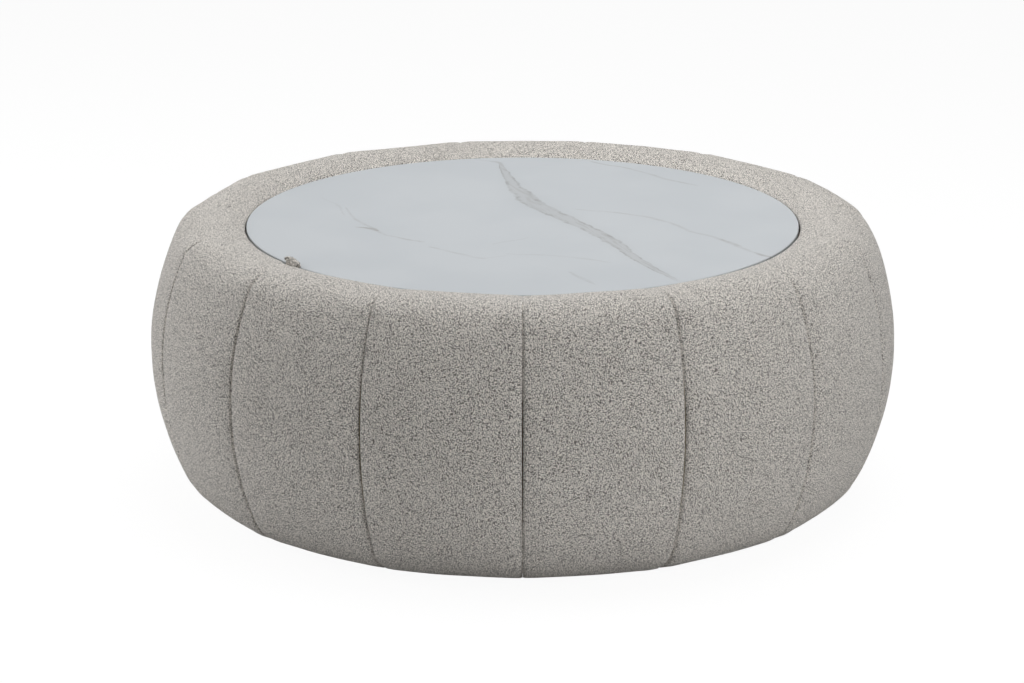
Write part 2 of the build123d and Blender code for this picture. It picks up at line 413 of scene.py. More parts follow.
marble = {
    "ground": (0.461, 0.488, 0.511),
    "pale": (0.490, 0.515, 0.536),
    "veinGrey": (0.290, 0.285, 0.280),
    "veinEdge": (0.195, 0.190, 0.185),
    "hair": (0.300, 0.298, 0.297),
    # Sizes and places on the stone are in millimetres
    "sway": (70.0, 16.0),          # how lines waver: over what length, and how far
    "cloud": 170.0,
    "grain": 2.2,
    "ragged": 14.0,
    "broken": 26.0,
    "faded": 24.0,
    "strandTurn": radians(-68),
    "strand": (55, 4.5, 55),
    "haze": 0.05,                  # how strongly each layer shows
    "bodyTone": (0.15, 0.20),
    "strandTone": 0.36,
    "edgeTone": (0.12, 0.36),
    "grainTone": 0.05,
    "relief": 0.0001,              # this alone is in metres
    # Lines are drawn through points: x, y and half the width
    "mainVein": [(-64, 353, 2.5), (-46, 347, 3), (-32, 329, 3.5), (-22, 262, 6), (-12, 196, 11),
                 (4, 135, 13), (26, 75, 13), (60, 10, 12), (98, -62, 9.5), (122, -118, 9),
                 (138, -167, 8), (157, -221, 6.5), (175, -262, 4), (196, -304, 2.5)],
    # and these with how strongly each shows
    "hairLines": [
        ([(-244, 77, 2), (-230, 30, 3), (-215, -8, 4), (-197, -50, 4), (-173, -80, 3),
          (-130, -110, 3)], 0.35),
        ([(-226, -31, 1.5), (-215, -35, 4), (-204, -43, 6), (-193, -56, 3)], 1.0),
        ([(-165, -88, 2), (-150, -98, 4), (-128, -105, 2)], 0.35),
        ([(-123, -131, 3), (-95, -155, 5), (-70, -180, 5), (-50, -195, 4), (-20, -182, 3)], 0.32),
        ([(-25, -172, 3), (40, -182, 4), (80, -195, 5), (115, -217, 3)], 0.22),
        ([(-278, 133, 2), (-255, 90, 3), (-241, 33, 2)], 0.2),
        ([(95, 345, 3), (120, 322, 4), (145, 308, 4), (172, 280, 4), (199, 244, 5),
          (245, 197, 3)], 0.45),
        ([(70, 66, 3), (110, 52, 4), (145, 38, 4), (176, 16, 5), (202, -16, 4), (227, -59, 5),
          (256, -90, 5), (282, -131, 5), (312, -180, 4)], 0.35),
        ([(262, -98, 3), (276, -114, 5), (288, -132, 3)], 0.5),
        ([(300, -160, 3), (312, -178, 5), (322, -185, 3)], 0.7),
        ([(60, -258, 3), (77, -296, 5), (92, -322, 3)], 0.3),
        ([(-42, -120, 3), (-30, -112, 4), (-8, -98, 3), (10, -84, 2)], 0.22),
    ],
}


def lineMask(paint, place, points):
    # How far each place lies off the line through the points, and half the line's width there.
    # Along the straight way from the first point to the last, two ramps hold the line's bends
    # and its widths.
    spots = [Vector(point[:2]) for point in points]
    run = spots[-1] - spots[0]
    aside = Vector((-run.y, run.x)).normalized()
    offsets = [(spot - spots[0]).dot(aside) for spot in spots]
    shares = [(spot - spots[0]).dot(run) / run.length_squared for spot in spots]
    reach = max(max(abs(offset) for offset in offsets), 1.0)
    widest = max(point[2] for point in points)
    bends = [(share, 0.5 + 0.5 * offset / reach) for share, offset in zip(shares, offsets)]
    widths = [(share, point[2] / widest) for share, point in zip(shares, points)]
    local = paint.mapped(place, (*spots[0], 0), atan2(run.y, run.x), (run.length, 1, 1))
    along = paint.part(local, 0)
    across = paint.part(local, 1)
    bend = paint.add("ShaderNodeValToRGB", {"stops": bends, "ramp": "CARDINAL"}, {0: along})
    width = paint.add("ShaderNodeValToRGB", {"stops": widths, "ramp": "EASE"}, {0: along})
    away = abs(across - (bend - 0.5) * (2 * reach))
    ends = paint.between(along, -0.02, 0.04) * paint.between(along, 0.96, 1.02, 1.0, 0.0)
    return away, width * widest, ends


def stoneMarble():
    paint = newPaint("stoneMarble")
    place = paint.add("ShaderNodeVectorMath", {"operation": "SCALE"},
                      {0: paint.place(), "Scale": 1000.0})
    swaySize, sway = marble["sway"]
    bent = paint.cloud(place, swaySize, 3.0, 0.5, "Color")
    bent = paint.add("ShaderNodeVectorMath", {"operation": "MULTIPLY_ADD"},
                     {0: bent, 1: (sway, sway, 0), 2: place})
    bent = paint.add("ShaderNodeVectorMath", {"operation": "SUBTRACT"},
                     {0: bent, 1: (sway / 2, sway / 2, 0)})
    clouds = paint.cloud(place, marble["cloud"], 4.0, 0.5)
    grain = paint.cloud(place, marble["grain"], 3.0, 0.6)
    ragged = paint.cloud(place, marble["ragged"], 4.0, 0.65) - 0.5
    colour = paint.mix(paint.between(clouds, 0.35, 0.65), marble["ground"], marble["pale"])

    # The broad vein: a smoky band of strands that run with it, darker along its edges
    away, width, ends = lineMask(paint, bent, marble["mainVein"])
    share = away / width + ragged * 1.1
    body = paint.between(share, 0.70, 1.15, 1.0, 0.0) * ends
    edge = paint.between(share, 0.45, 0.85) * paint.between(share, 0.90, 1.15, 1.0, 0.0) * ends
    strands = paint.mapped(bent, turn=marble["strandTurn"], scale=marble["strand"])
    strands = paint.cloud(strands, 1.0, 4.0, 0.6)
    dark = paint.between(strands, 0.38, 0.50, 1.0, 0.0)
    broken = paint.between(paint.cloud(place, marble["broken"], 3.0, 0.6), 0.42, 0.60)
    haze = paint.between(away / width, 0.8, 3.0, 1.0, 0.0) * ends
    bodyLeast, bodyMore = marble["bodyTone"]
    edgeLeast, edgeMore = marble["edgeTone"]
    colour = paint.mix(haze * marble["haze"], colour, marble["veinGrey"])
    colour = paint.mix(body * (bodyLeast + strands * bodyMore), colour, marble["veinGrey"])
    colour = paint.mix(body * dark * marble["strandTone"], colour, marble["veinGrey"])
    colour = paint.mix(edge * (edgeLeast + broken * edgeMore), colour, marble["veinEdge"])

    # Fine lines, faint and partly broken
    fade = paint.between(paint.cloud(place, marble["faded"], 3.0, 0.6), 0.35, 0.58, 0.45, 1.0)
    for points, strength in marble["hairLines"]:
        away, width, ends = lineMask(paint, bent, points)
        line = paint.between(away / width + ragged * 0.7, 0.1, 1.1, 1.0, 0.0)
        colour = paint.mix(line * fade * ends * strength, colour, marble["hair"])

    colour = paint.mix(grain * marble["grainTone"], colour, marble["hair"])
    roughness = paint.between(clouds, 0.3, 0.7, 0.50, 0.56)
    normal = paint.bump(grain, marble["relief"], 0.15)
    return paint.show(paint.surface(colour, roughness, Normal=normal, Specular_IOR_Level=0.25))


finishes = {
    "stone": stoneMarble(),
    "cover_fabric": coverFabric(),
    "foam": foam(),
    "felt": mattedFibre("felt", feltLook),
    "dust_cloth": dustCloth(),
    "plywood": plywood(),
    "hardboard": mattedFibre("hardboard", hardboardLook),
    "lined_board": linedBoard(),
    "glide_plastic": glidePlastic(),
    "screw_steel": screwSteel(),
}
for part in frame["record"]["subparts"]:
    node = frame["nodes"][part["node"]]
    node.data.materials.clear()
    node.data.materials.append(finishes[part["material_slot"]])
print("finishes made")


# Mesh helpers
tiny = 1e-6


def linked(name, bm):
    mesh = bpy.data.meshes.new(name)
    bm.to_mesh(mesh)
    piece = bpy.data.objects.new(name, mesh)
    scene.collection.objects.link(piece)
    return piece


def newPiece(name, bm, slot, sharp=radians(35)):
    # Smooth, apart from edges that turn by more than the sharp angle, if there is one
    piece = linked(name, bm)
    bm.free()
    piece.data.shade_smooth()
    if sharp:
        piece.data.set_sharp_from_angle(angle=sharp)
    piece.data.materials.append(finishes[slot])
    return piece


def finishedMesh(piece):
    # The piece's mesh with its modifiers worked in
    return bpy.data.meshes.new_from_object(
        piece.evaluated_get(bpy.context.evaluated_depsgraph_get()))


def vertsIn(geom):
    return [part for part in geom if isinstance(part, bmesh.types.BMVert)]


def edgesAt(verts):
    return list(dict.fromkeys(edge for vert in verts for edge in vert.link_edges))


def levelEdges(edges):
    return [edge for edge in edges if abs(edge.verts[0].co.z - edge.verts[1].co.z) < tiny]


def turnAll(bm, angle):
    # Turns everything round the object's upright axis
    bmesh.ops.rotate(bm, verts=bm.verts, cent=(0, 0, 0), matrix=Matrix.Rotation(angle, 3, "Z"))


def roundOff(bm, edges, offset, steps):
    bmesh.ops.bevel(bm, geom=edges, offset=offset, offset_type="OFFSET", affect="EDGES",
                    segments=steps, profile=0.5, material=-1)


def outFar(place):
    # Distance from the object's upright axis
    return hypot(place.x, place.y)


def ease(value, low, high):
    share = min(max((value - low) / (high - low), 0.0), 1.0)
    return share * share * (3 - 2 * share)


# Upholstery: one panel is drawn, settled as cloth and then fitted round the body
cover = {
    "panels": 15,
    "lidGap": 0.0045,
    "recessToCrown": 0.0585,
    "crownToBelly": 0.067,
    "hemToBelly": 0.088,
    "bellyHeight": 0.195,
    "hemTurnUnder": 0.026,
    "heelShare": 0.68,
    "shoulderShare": 0.6,
    "rollShare": 2.7,
    "lipShare": 0.09,
    "thickness": 0.0035,
    "columns": 26,
    "row": 0.0080,
    "crowding": 1.3,       # above 1, columns stand closer near the seams
    "shoulderFlat": 0.7,   # from 0, as round as the body, to 1, straight from seam to seam
    "heelFlat": 0.4,
    "flatEase": 0.03,      # heights over which it comes in, above the belly and below the crown
    "heelEase": (0.02, 0.006),     # and above the hem
    "rollEase": (0.005, 0.01),     # and from the recess to past the crown
    "fuller": {3: 0.4, 4: 0.7, 5: 0.8, 6: 0.7},    # panels packed rounder than the others
    "lipLean": 0.0027,     # how far the lip leans in to the stone
    "lipBand": (-0.011, -0.003),   # from where up, seen from the stone's top
    "lipReach": 0.022,
    "loopAngle": radians(-142.6),  # but not where the pull loop comes up
    "loopRoom": (0.0135, 0.022),
    "seamGap": 0.00012,
    "seamSink": 0.0036,    # how far the seam is drawn in
    "seamReach": 0.013,
    "seamBite": 0.0030,    # and its sharp bottom, below that
    "biteReach": 0.0036,
    "seamFlush": 0.12,     # share of its depth left on the crown, near the recess
    "seamRun": (-0.012, 0.035),    # over which it deepens, seen from the crown
    "hemBand": 0.002,      # where no seam is drawn in: along the hem and down in the recess
    "wallBand": (0.01, 0.003),
    "hemCalm": 0.004,      # and where the cloth lies calmer
    "wallCalm": (0.008, 0.35),
    "air": 0.0003,         # between pieces that lie on each other
}

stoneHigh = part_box("stone_top")[1]
recessRadius = stoneHigh.x + cover["lidGap"]
crownRadius = recessRadius + cover["recessToCrown"]
bodyRadius = crownRadius + cover["crownToBelly"]
hemRadius = bodyRadius - cover["hemToBelly"]
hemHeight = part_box("cover_panel_01")[0].z
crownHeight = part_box("cover_panel_01")[1].z
bellyHeight = hemHeight + cover["bellyHeight"]
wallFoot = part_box("ledge_ring")[1].z + cover["air"]
halfPanel = pi / cover["panels"]


def panelBearing(number):
    return -pi / 2 + (2 * number - 1) * halfPanel


def largeArc(width, height, small):
    # Radius of the arc that stands upright at the belly and runs on into a small arc
    return (width**2 + height**2 - 2 * height * small) / (2 * (width - small))


def sideArcs():
    # From the hem over belly and crown to the recess: centre, radius, first and last angle
    heel = cover["heelShare"] * cover["hemToBelly"]
    shoulder = cover["shoulderShare"] * cover["crownToBelly"]
    roll = cover["rollShare"] * cover["recessToCrown"]
    lip = cover["lipShare"] * cover["recessToCrown"]
    lower = largeArc(cover["hemToBelly"], cover["bellyHeight"], heel)
    upper = largeArc(cover["crownToBelly"], crownHeight - bellyHeight, shoulder)
    heelAt = Vector((hemRadius, hemHeight + heel))
    lowerAt = Vector((bodyRadius - lower, bellyHeight))
    upperAt = Vector((bodyRadius - upper, bellyHeight))
    shoulderAt = Vector((crownRadius, crownHeight - shoulder))
    rollAt = Vector((crownRadius, crownHeight - roll))
    lipR = recessRadius + lip
    lipAt = Vector((lipR, rollAt.y + sqrt((roll - lip) ** 2 - (crownRadius - lipR) ** 2)))

    def bearing(a, b):
        return atan2(b.y - a.y, b.x - a.x)

    lowTurn = bearing(lowerAt, heelAt)
    highTurn = bearing(upperAt, shoulderAt)
    lipTurn = bearing(rollAt, lipAt)
    return [
        (heelAt, heel, -pi / 2, lowTurn),
        (lowerAt, lower, lowTurn, 0.0),
        (upperAt, upper, 0.0, highTurn),
        (shoulderAt, shoulder, highTurn, pi / 2),
        (rollAt, roll, pi / 2, lipTurn),
        (lipAt, lip, lipTurn, pi),
    ]


def drawOut(bm, vert, to, step):
    # Extrudes one vertex to a point, in even steps of about the given length
    start = vert.co.copy()
    steps = max(round((Vector(to) - start).length / step), 1)
    for count in range(1, steps + 1):
        vert = bmesh.ops.extrude_vert_indiv(bm, verts=[vert])["verts"][0]
        vert.co = start.lerp(Vector(to), count / steps)
    return vert


def turnOut(bm, vert, centre, angle, step):
    # Spins one vertex round a centre in the plane of radius and height
    radius = (Vector((centre.x, 0, centre.y)) - vert.co).length
    steps = max(round(abs(angle) * radius / step), 4)
    made = bmesh.ops.spin(bm, geom=[vert], cent=(centre.x, 0, centre.y), axis=(0, -1, 0),
                          angle=angle, steps=steps)
    return vertsIn(made["geom_last"])[0]


def sweptPanel():
    bm = bmesh.new()
    vert = bm.verts.new((hemRadius - cover["hemTurnUnder"], 0, hemHeight))
    vert = drawOut(bm, vert, (hemRadius, 0, hemHeight), cover["row"])
    for centre, radius, first, last in sideArcs():
        vert = turnOut(bm, vert, centre, last - first, cover["row"])
    drawOut(bm, vert, (recessRadius, 0, wallFoot), cover["row"])
    turnAll(bm, -halfPanel)
    bmesh.ops.spin(bm, geom=bm.verts[:] + bm.edges[:], cent=(0, 0, 0), axis=(0, 0, 1),
                   angle=2 * halfPanel, steps=cover["columns"])
    bmesh.ops.recalc_face_normals(bm, faces=bm.faces)
    outermost = max(bm.faces, key=lambda face: face.calc_center_median().x)
    if outermost.normal.x < 0:
        bmesh.ops.reverse_faces(bm, faces=bm.faces)
    bm.normal_update()
    return bm


def crowdToSeams(bm):
    # Moves the columns nearer to the seams, where the shape turns most
    for vert in bm.verts:
        radius = outFar(vert.co)
        share = atan2(vert.co.y, vert.co.x) / halfPanel
        eased = 1 - (1 - min(abs(share), 1.0)) ** cover["crowding"]
        turn = eased * halfPanel * (1 if share > 0 else -1)
        vert.co.x = radius * cos(turn)
        vert.co.y = radius * sin(turn)


def onShoulder(place):
    # 1 on the outer shoulder, 0 at the belly and at the recess
    ends = cover["flatEase"]
    low, high = cover["rollEase"]
    return (ease(place.z, bellyHeight + ends, crownHeight - ends)
            * ease(outFar(place), recessRadius + low, crownRadius + high))


def onHeel(place):
    high, low = cover["heelEase"]
    return ((1 - ease(place.z, hemHeight + high, bellyHeight - cover["flatEase"]))
            * ease(place.z, hemHeight, hemHeight + low))


def flattenPanel(bm):
    # From seam to seam the cloth takes the short way: nearly straight on the outer shoulder,
    # less so at the heel, and round at the belly, where the filling pushes most
    for vert in bm.verts:
        if vert.co.z > bellyHeight:
            share = cover["shoulderFlat"] * onShoulder(vert.co)
        else:
            share = cover["heelFlat"] * onHeel(vert.co)
        inward = 1 - share * (1 - cos(halfPanel) / cos(atan2(vert.co.y, vert.co.x)))
        vert.co.x *= inward
        vert.co.y *= inward


def fromSeam(place):
    return outFar(place) * (halfPanel - abs(atan2(place.y, place.x)))


def seamDepth(place):
    # The seam is deepest on the side, and almost flush where it nears the recess
    near, far = [crownRadius + run for run in cover["seamRun"]]
    onSide = ease(outFar(place), near, far) if place.z > bellyHeight else 1.0
    return cover["seamFlush"] + (1 - cover["seamFlush"]) * onSide


def sinkSeams(bm):
    drop, band = cover["wallBand"]
    moves = {}
    for vert in bm.verts:
        reach = 1 - ease(fromSeam(vert.co), 0.0, cover["seamReach"])
        sink = cover["seamSink"] * seamDepth(vert.co) * reach
        onHem = vert.co.z < hemHeight + cover["hemBand"]
        onWall = vert.co.z < crownHeight - drop and outFar(vert.co) < recessRadius + band
        if onHem or onWall:
            sink = 0.0
        moves[vert] = vert.normal * -sink
    for vert, move in moves.items():
        vert.co += move


settling = {
    "frames": 22,
    "mostOut": 0.0035,
    "mostIn": 0.0035,
    "cloth": {
        "quality": 6,
        "mass": 0.2,
        "tension_stiffness": 15,
        "compression_stiffness": 15,
        "shear_stiffness": 5,
        "bending_stiffness": 0.5,
        "shrink_min": 0.001,
        "use_pressure": True,
        "uniform_pressure_force": 12.0,
    },
}


def settle(bm):
    # Cloth held at its seams, hem and foot, drawn tight over a soft filling
    trial = linked("settling", bm)
    mesh = trial.data
    held = trial.vertex_groups.new(name="held")
    held.add([vert.index for vert in bm.verts if vert.is_boundary], 1.0, "REPLACE")
    cloth = trial.modifiers.new("cloth", "CLOTH")
    cloth.settings.vertex_group_mass = "held"
    for key, value in settling["cloth"].items():
        setattr(cloth.settings, key, value)
    cloth.settings.effector_weights.gravity = 0.0
    cloth.collision_settings.use_collision = False
    for number in range(1, settling["frames"] + 1):
        scene.frame_set(number)
    settled = trial.evaluated_get(bpy.context.evaluated_depsgraph_get())
    most = [0.0, 0.0]
    for vert, after in zip(bm.verts, settled.data.vertices):
        out = (after.co - vert.co).dot(vert.normal)
        most = [min(most[0], out), max(most[1], out)]
        vert.co += vert.normal * min(max(out, -settling["mostIn"]), settling["mostOut"])
    scene.frame_set(1)
    bpy.data.objects.remove(trial)
    bpy.data.meshes.remove(mesh)
    print("cloth settled, in and out by up to", [round(1000 * m, 2) for m in most], "mm")
    bm.normal_update()


panelMesh = sweptPanel()
crowdToSeams(panelMesh)
flattenPanel(panelMesh)
panelMesh.normal_update()
sinkSeams(panelMesh)
panelMesh.normal_update()
settle(panelMesh)


def divided(bm, levels):
    # The same surface with each face cut in four, once for each level
    trial = linked("divided", bm)
    mesh = trial.data
    divide = trial.modifiers.new("divide", "SUBSURF")
    divide.levels = levels
    divide.render_levels = levels
    divide.boundary_smooth = "PRESERVE_CORNERS"
    fine = finishedMesh(trial)
    bpy.data.objects.remove(trial)
    bpy.data.meshes.remove(mesh)
    return fine


fineMesh = divided(panelMesh, 2)


def clearOfSeam(place):
    # Keeps a panel just off its seam planes
    radius = outFar(place)
    most = halfPanel - cover["seamGap"] / radius
    turn = min(max(atan2(place.y, place.x), -most), most)
    place.x = radius * cos(turn)
    place.y = radius * sin(turn)


relief = {
    "lump": (0.110, 0.0011),      # uneven filling: size and height
    "dimple": (0.035, 0.00035),
    "nub": (0.0046, 0.00014),     # the looped yarn itself, lower right beside the seams
    "nubCalm": (0.012, 0.4),
    "pucker": (0.021, 0.00075),   # small gathers beside the seams
    "puckerReach": 0.020,
    "puckerChange": (3.7, 17.0),  # from panel to panel, and from side to side
    "border": (-0.002, 0.004),    # nothing stands out right at the border
}


def reliefAt(place, away, number):
    # How far the cloth stands out at a place, with its distance from the seam
    lumpSize, lump = relief["lump"]
    dimpleSize, dimple = relief["dimple"]
    nubSize, nub = relief["nub"]
    calmReach, calm = relief["nubCalm"]
    puckerSize, pucker = relief["pucker"]
    nextPanel, nextSide = relief["puckerChange"]
    side = nextPanel * number + (nextSide if place.y > 0 else 0.0)
    length = Vector((side, outFar(place) / puckerSize, place.z / puckerSize))
    nub *= calm + (1 - calm) * ease(away, 0.0, calmReach)
    out = lump * noise.noise(place / lumpSize + Vector((0, 0, number)))
    out += dimple * noise.noise(place / dimpleSize + Vector((number, 0, 0)))
    out += nub * noise.noise(place / nubSize + Vector((0, number, 0)))
    out += pucker * noise.noise(length) * (1 - ease(away, 0.0, relief["puckerReach"]))
    return out * ease(away, *relief["border"])


def backSkin():
    # The inner side of the cloth, coarser, with as many vertices round its border as the outer
    bm = panelMesh.copy()
    for vert, normal in [(vert, vert.normal.copy()) for vert in bm.verts]:
        vert.co -= normal * cover["thickness"]
        clearOfSeam(vert.co)
    border = [edge for edge in bm.edges if edge.is_boundary]
    bmesh.ops.subdivide_edges(bm, edges=border, cuts=3)
    bmesh.ops.reverse_faces(bm, faces=bm.faces)
    mesh = bpy.data.meshes.new("backSkin")
    bm.to_mesh(mesh)
    bm.free()
    return mesh


backMesh = backSkin()


def fillOut(place, number):
    # Gives a fuller panel back part of the roundness that flattenPanel took
    share = cover["fuller"].get(number, 0.0) * cover["shoulderFlat"] * onShoulder(place)
    out = share * max(1 - cos(halfPanel) / cos(atan2(place.y, place.x)), 0.0)
    return Vector((place.x, place.y, 0)) * out


def leanIn(place, bearing):
    # The lip's top bulges in to the stone
    radius = outFar(place)
    aside = (atan2(place.y, place.x) + bearing - cover["loopAngle"] + pi) % (2 * pi) - pi
    low, high = cover["lipBand"]
    lean = cover["lipLean"] * ease(place.z, stoneHigh.z + low, stoneHigh.z + high)
    lean *= 1 - ease(radius, recessRadius, recessRadius + cover["lipReach"])
    lean *= ease(abs(aside) * radius, *cover["loopRoom"])
    return Vector((place.x, place.y, 0)) * (-lean / radius)


def coverPanel(number):
    bm = bmesh.new()
    bm.from_mesh(fineMesh)
    bm.normal_update()
    bearing = panelBearing(number)
    wallBand, wallCalm = cover["wallCalm"]
    moves = []
    for vert in bm.verts:
        away = fromSeam(vert.co)
        bite = cover["seamBite"] * seamDepth(vert.co) * (1 - ease(away, 0.0, cover["biteReach"]))
        free = ease(vert.co.z, hemHeight, hemHeight + cover["hemCalm"])
        if outFar(vert.co) < recessRadius + wallBand and vert.co.z > bellyHeight:
            free = wallCalm
        move = vert.normal * ((reliefAt(vert.co, away, number) - bite) * free)
        moves.append(move + fillOut(vert.co, number) + leanIn(vert.co, bearing))
    for vert, move in zip(bm.verts, moves):
        vert.co += move
        clearOfSeam(vert.co)
    bm.from_mesh(backMesh)
    bmesh.ops.bridge_loops(bm, edges=[edge for edge in bm.edges if edge.is_boundary])
    bmesh.ops.recalc_face_normals(bm, faces=bm.faces)
    turnAll(bm, bearing)
    piece = newPiece(f"coverPanel_{number:02d}", bm, "cover_fabric", radians(60))
    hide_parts(f"cover_panel_{number:02d}")
    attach(piece, "base")


for number in range(1, cover["panels"] + 1):
    coverPanel(number)


def foamPad(number):
    # The filling behind one panel, shaped by the cloth in front and by the frame behind it
    bm = panelMesh.copy()
    air = cover["air"]
    for vert, normal in [(vert, vert.normal.copy()) for vert in bm.verts]:
        vert.co -= normal * (cover["thickness"] + air)
        clearOfSeam(vert.co)
    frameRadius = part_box("base_board")[1].x + air
    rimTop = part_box("rim_ring")[1].z + air
    bmesh.ops.bisect_plane(bm, geom=bm.verts[:] + bm.edges[:] + bm.faces[:],
                           plane_co=(0, 0, rimTop), plane_no=(0, 0, 1))
    spots = {face: face.calc_center_median() for face in bm.faces}
    gone = [face for face, spot in spots.items() if outFar(spot) < frameRadius and spot.z < rimTop]
    bmesh.ops.delete(bm, geom=gone, context="FACES")
    made = bmesh.ops.extrude_face_region(bm, geom=bm.faces[:])
    for vert in vertsIn(made["geom"]):
        inward = frameRadius / outFar(vert.co)
        if vert.co.z >= rimTop:
            vert.co.z = rimTop - air / 3
            inward = min(inward, 1.0)
        vert.co.x *= inward
        vert.co.y *= inward
    bmesh.ops.recalc_face_normals(bm, faces=bm.faces)
    turnAll(bm, panelBearing(number))
    piece = newPiece(f"foamPad_{number:02d}", bm, "foam")
    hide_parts(f"foam_channel_{number:02d}")
    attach(piece, "base")


for number in range(1, cover["panels"] + 1):
    foamPad(number)
panelMesh.free()
print("foam pads made")


# Lid: the stone, its felt pads and the loop that lifts it
slab = {
    "segments": 288,
    "ease": 0.0012,
    "easeSteps": 4,
    "rings": (0.004, 0.10, 0.10),
}


def stoneSlab():
    low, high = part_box("stone_top")
    bm = bmesh.new()
    bmesh.ops.create_circle(bm, cap_ends=True, radius=high.x, segments=slab["segments"],
                            matrix=Matrix.Translation((0, 0, low.z)))
    made = bmesh.ops.extrude_face_region(bm, geom=bm.faces[:])
    bmesh.ops.translate(bm, verts=vertsIn(made["geom"]), vec=(0, 0, high.z - low.z))
    bmesh.ops.recalc_face_normals(bm, faces=bm.faces)
    roundOff(bm, levelEdges(bm.edges), slab["ease"], slab["easeSteps"])
    discs = [face for face in bm.faces if len(face.verts) > 4]
    for width in slab["rings"]:
        bmesh.ops.inset_region(bm, faces=discs, thickness=width, use_even_offset=True)
    piece = newPiece("stoneSlab", bm, "stone", radians(50))
    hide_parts("stone_top")
    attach(piece, "lid")


stoneSlab()

felts = {
    "count": 8,
    "segments": 36,
    "stoneMargin": 0.030,
    "share": 0.8,          # of the room between the margin and the board's edge
    "ease": 0.0005,
    "easeSteps": 3,
}


def feltPads():
    low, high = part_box("lid_pads")
    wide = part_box("lid_board")[1].x
    inner = stoneHigh.x - felts["stoneMargin"]
    radius = felts["share"] * (wide - inner) / 2
    spot = Matrix.Translation(((inner + wide) / 2, 0, 0))
    level = Matrix.Translation((0, 0, (high.z + low.z) / 2))
    bm = bmesh.new()
    for number in range(felts["count"]):
        turn = Matrix.Rotation(-pi / 2 + number * 2 * pi / felts["count"], 4, "Z")
        made = bmesh.ops.create_cone(bm, cap_ends=True, segments=felts["segments"],
                                     radius1=radius, radius2=radius, depth=high.z - low.z,
                                     matrix=turn @ spot @ level)
        roundOff(bm, levelEdges(edgesAt(made["verts"])), felts["ease"], felts["easeSteps"])
    piece = newPiece("feltPads", bm, "felt")
    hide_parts("lid_pads")
    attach(piece, "lid")


feltPads()

strap = {
    "width": 0.025,
    "layer": 0.0014,
    "clothShare": 0.9,     # of a layer's room that the cloth itself fills
    "tailHold": 0.035,
    "bend": 0.0026,
    "clearance": 0.00035,
    "loopLength": 0.0048,
    "headRadius": 0.0027,
    "lean": radians(50),
    "lift": 0.002,
    "skew": 0.0025,        # the fold isn't square, so one layer shows beside the other
    "flare": 1.3,          # the loop spreads wider than the strip where it clears the gap
    "outward": 1.25,       # and its outer layer bulges
    "lowEnd": 0.6,         # the loop's height at its right end, as a share of the left end's
    "flatEnd": 0.5,        # and its thickness there
    "lowFrom": 0.15,       # where across the strap each of these two begins
    "flatFrom": 0.3,
    "roundEnds": 0.35,     # share of the width over which each end rounds off
    "endHeight": 0.15,
    "puff": 0.0004,
    "puffBand": (-0.001, 0.003),
    "nub": (0.0034, 0.0006),
    "stoneAir": (0.0002, 0.002),   # above the stone, and how deep a point is lifted from
    "foldLean": radians(12),       # the lean of a plane, and a band round it
    "foldBand": (-0.001, 0.0015),
    "columns": 22,
    "step": 0.0011,
}


def strapPath(bm):
    # One strip of the cover cloth, folded in half: its tail lies under the stone, its two
    # layers turn up at the stone's edge, and the fold stands above it as the loop
    layer = strap["layer"]
    step = strap["step"]
    hinge = Vector((stoneHigh.x + strap["clearance"] + layer, 0, stoneHigh.z + strap["lift"]))
    upward = Vector((-sin(strap["lean"]), 0, cos(strap["lean"])))
    sideways = Vector((cos(strap["lean"]), 0, sin(strap["lean"])))
    head = hinge + upward * strap["loopLength"]
    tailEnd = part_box("lid_board")[1].x - strap["tailHold"]

    # The outer layer: along the rebate's floor, up past the stone, and out to the loop's head
    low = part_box("tab_tail")[0].z + layer / 2
    outer = hinge.x + layer / 2
    bend = strap["bend"]
    vert = bm.verts.new((tailEnd, 0, low))
    vert = drawOut(bm, vert, (outer - bend, 0, low), step)
    vert = turnOut(bm, vert, Vector((outer - bend, low + bend)), pi / 2, step / 2)
    vert = drawOut(bm, vert, (outer, 0, hinge.z - layer), step)
    loopStart = len(bm.verts)
    vert = drawOut(bm, vert, head + sideways * strap["headRadius"], step)
    vert = turnOut(bm, vert, Vector((head.x, head.z)), pi, step / 2)

    # The inner layer comes back the same way, one thickness in
    inner = outer - layer
    high = low + layer
    small = bend - layer
    vert = drawOut(bm, vert, (inner, 0, hinge.z - layer), step)
    loopEnd = len(bm.verts)
    vert = drawOut(bm, vert, (inner, 0, high + small), step)
    riseEnd = len(bm.verts)
    vert = turnOut(bm, vert, Vector((inner - small, high + small)), -pi / 2, step / 2)
    drawOut(bm, vert, (tailEnd, 0, high), step)
    length = sum(edge.calc_length() for edge in bm.edges)
    for number, vert in enumerate(bm.verts):
        across = ease(number, loopStart, loopEnd) * (1 - ease(number, loopEnd, riseEnd))
        vert.co.y += strap["skew"] * across
    return hinge, upward, length


def shapeLoop(bm, hinge, upward):
    # The loop is full at its left end, pressed flat at its right end, and round at both
    sideways = Vector((upward.z, 0, -upward.x))
    for vert in bm.verts:
        rise = (vert.co - hinge).dot(upward)
        if rise < 0 or vert.co.z < hinge.z - strap["layer"]:
            continue
        share = vert.co.y / strap["width"] + 0.5
        tall = 1 - (1 - strap["lowEnd"]) * ease(share, strap["lowFrom"], 1.0)
        near = min(max(min(share, 1 - share) / strap["roundEnds"], 0.0), 1.0)
        tall *= strap["endHeight"] + (1 - strap["endHeight"]) * sqrt(1 - (1 - near) ** 2)
        across = (vert.co - hinge).dot(sideways)
        flat = 1 - (1 - strap["flatEnd"]) * ease(share, strap["flatFrom"], 1.0)
        flat *= strap["outward"] if across > 0 else 1.0
        vert.co += upward * (rise * (tall - 1)) + sideways * (across * (flat - 1))
        vert.co.y *= 1 + (strap["flare"] - 1) * ease(rise, 0.0, strap["loopLength"])


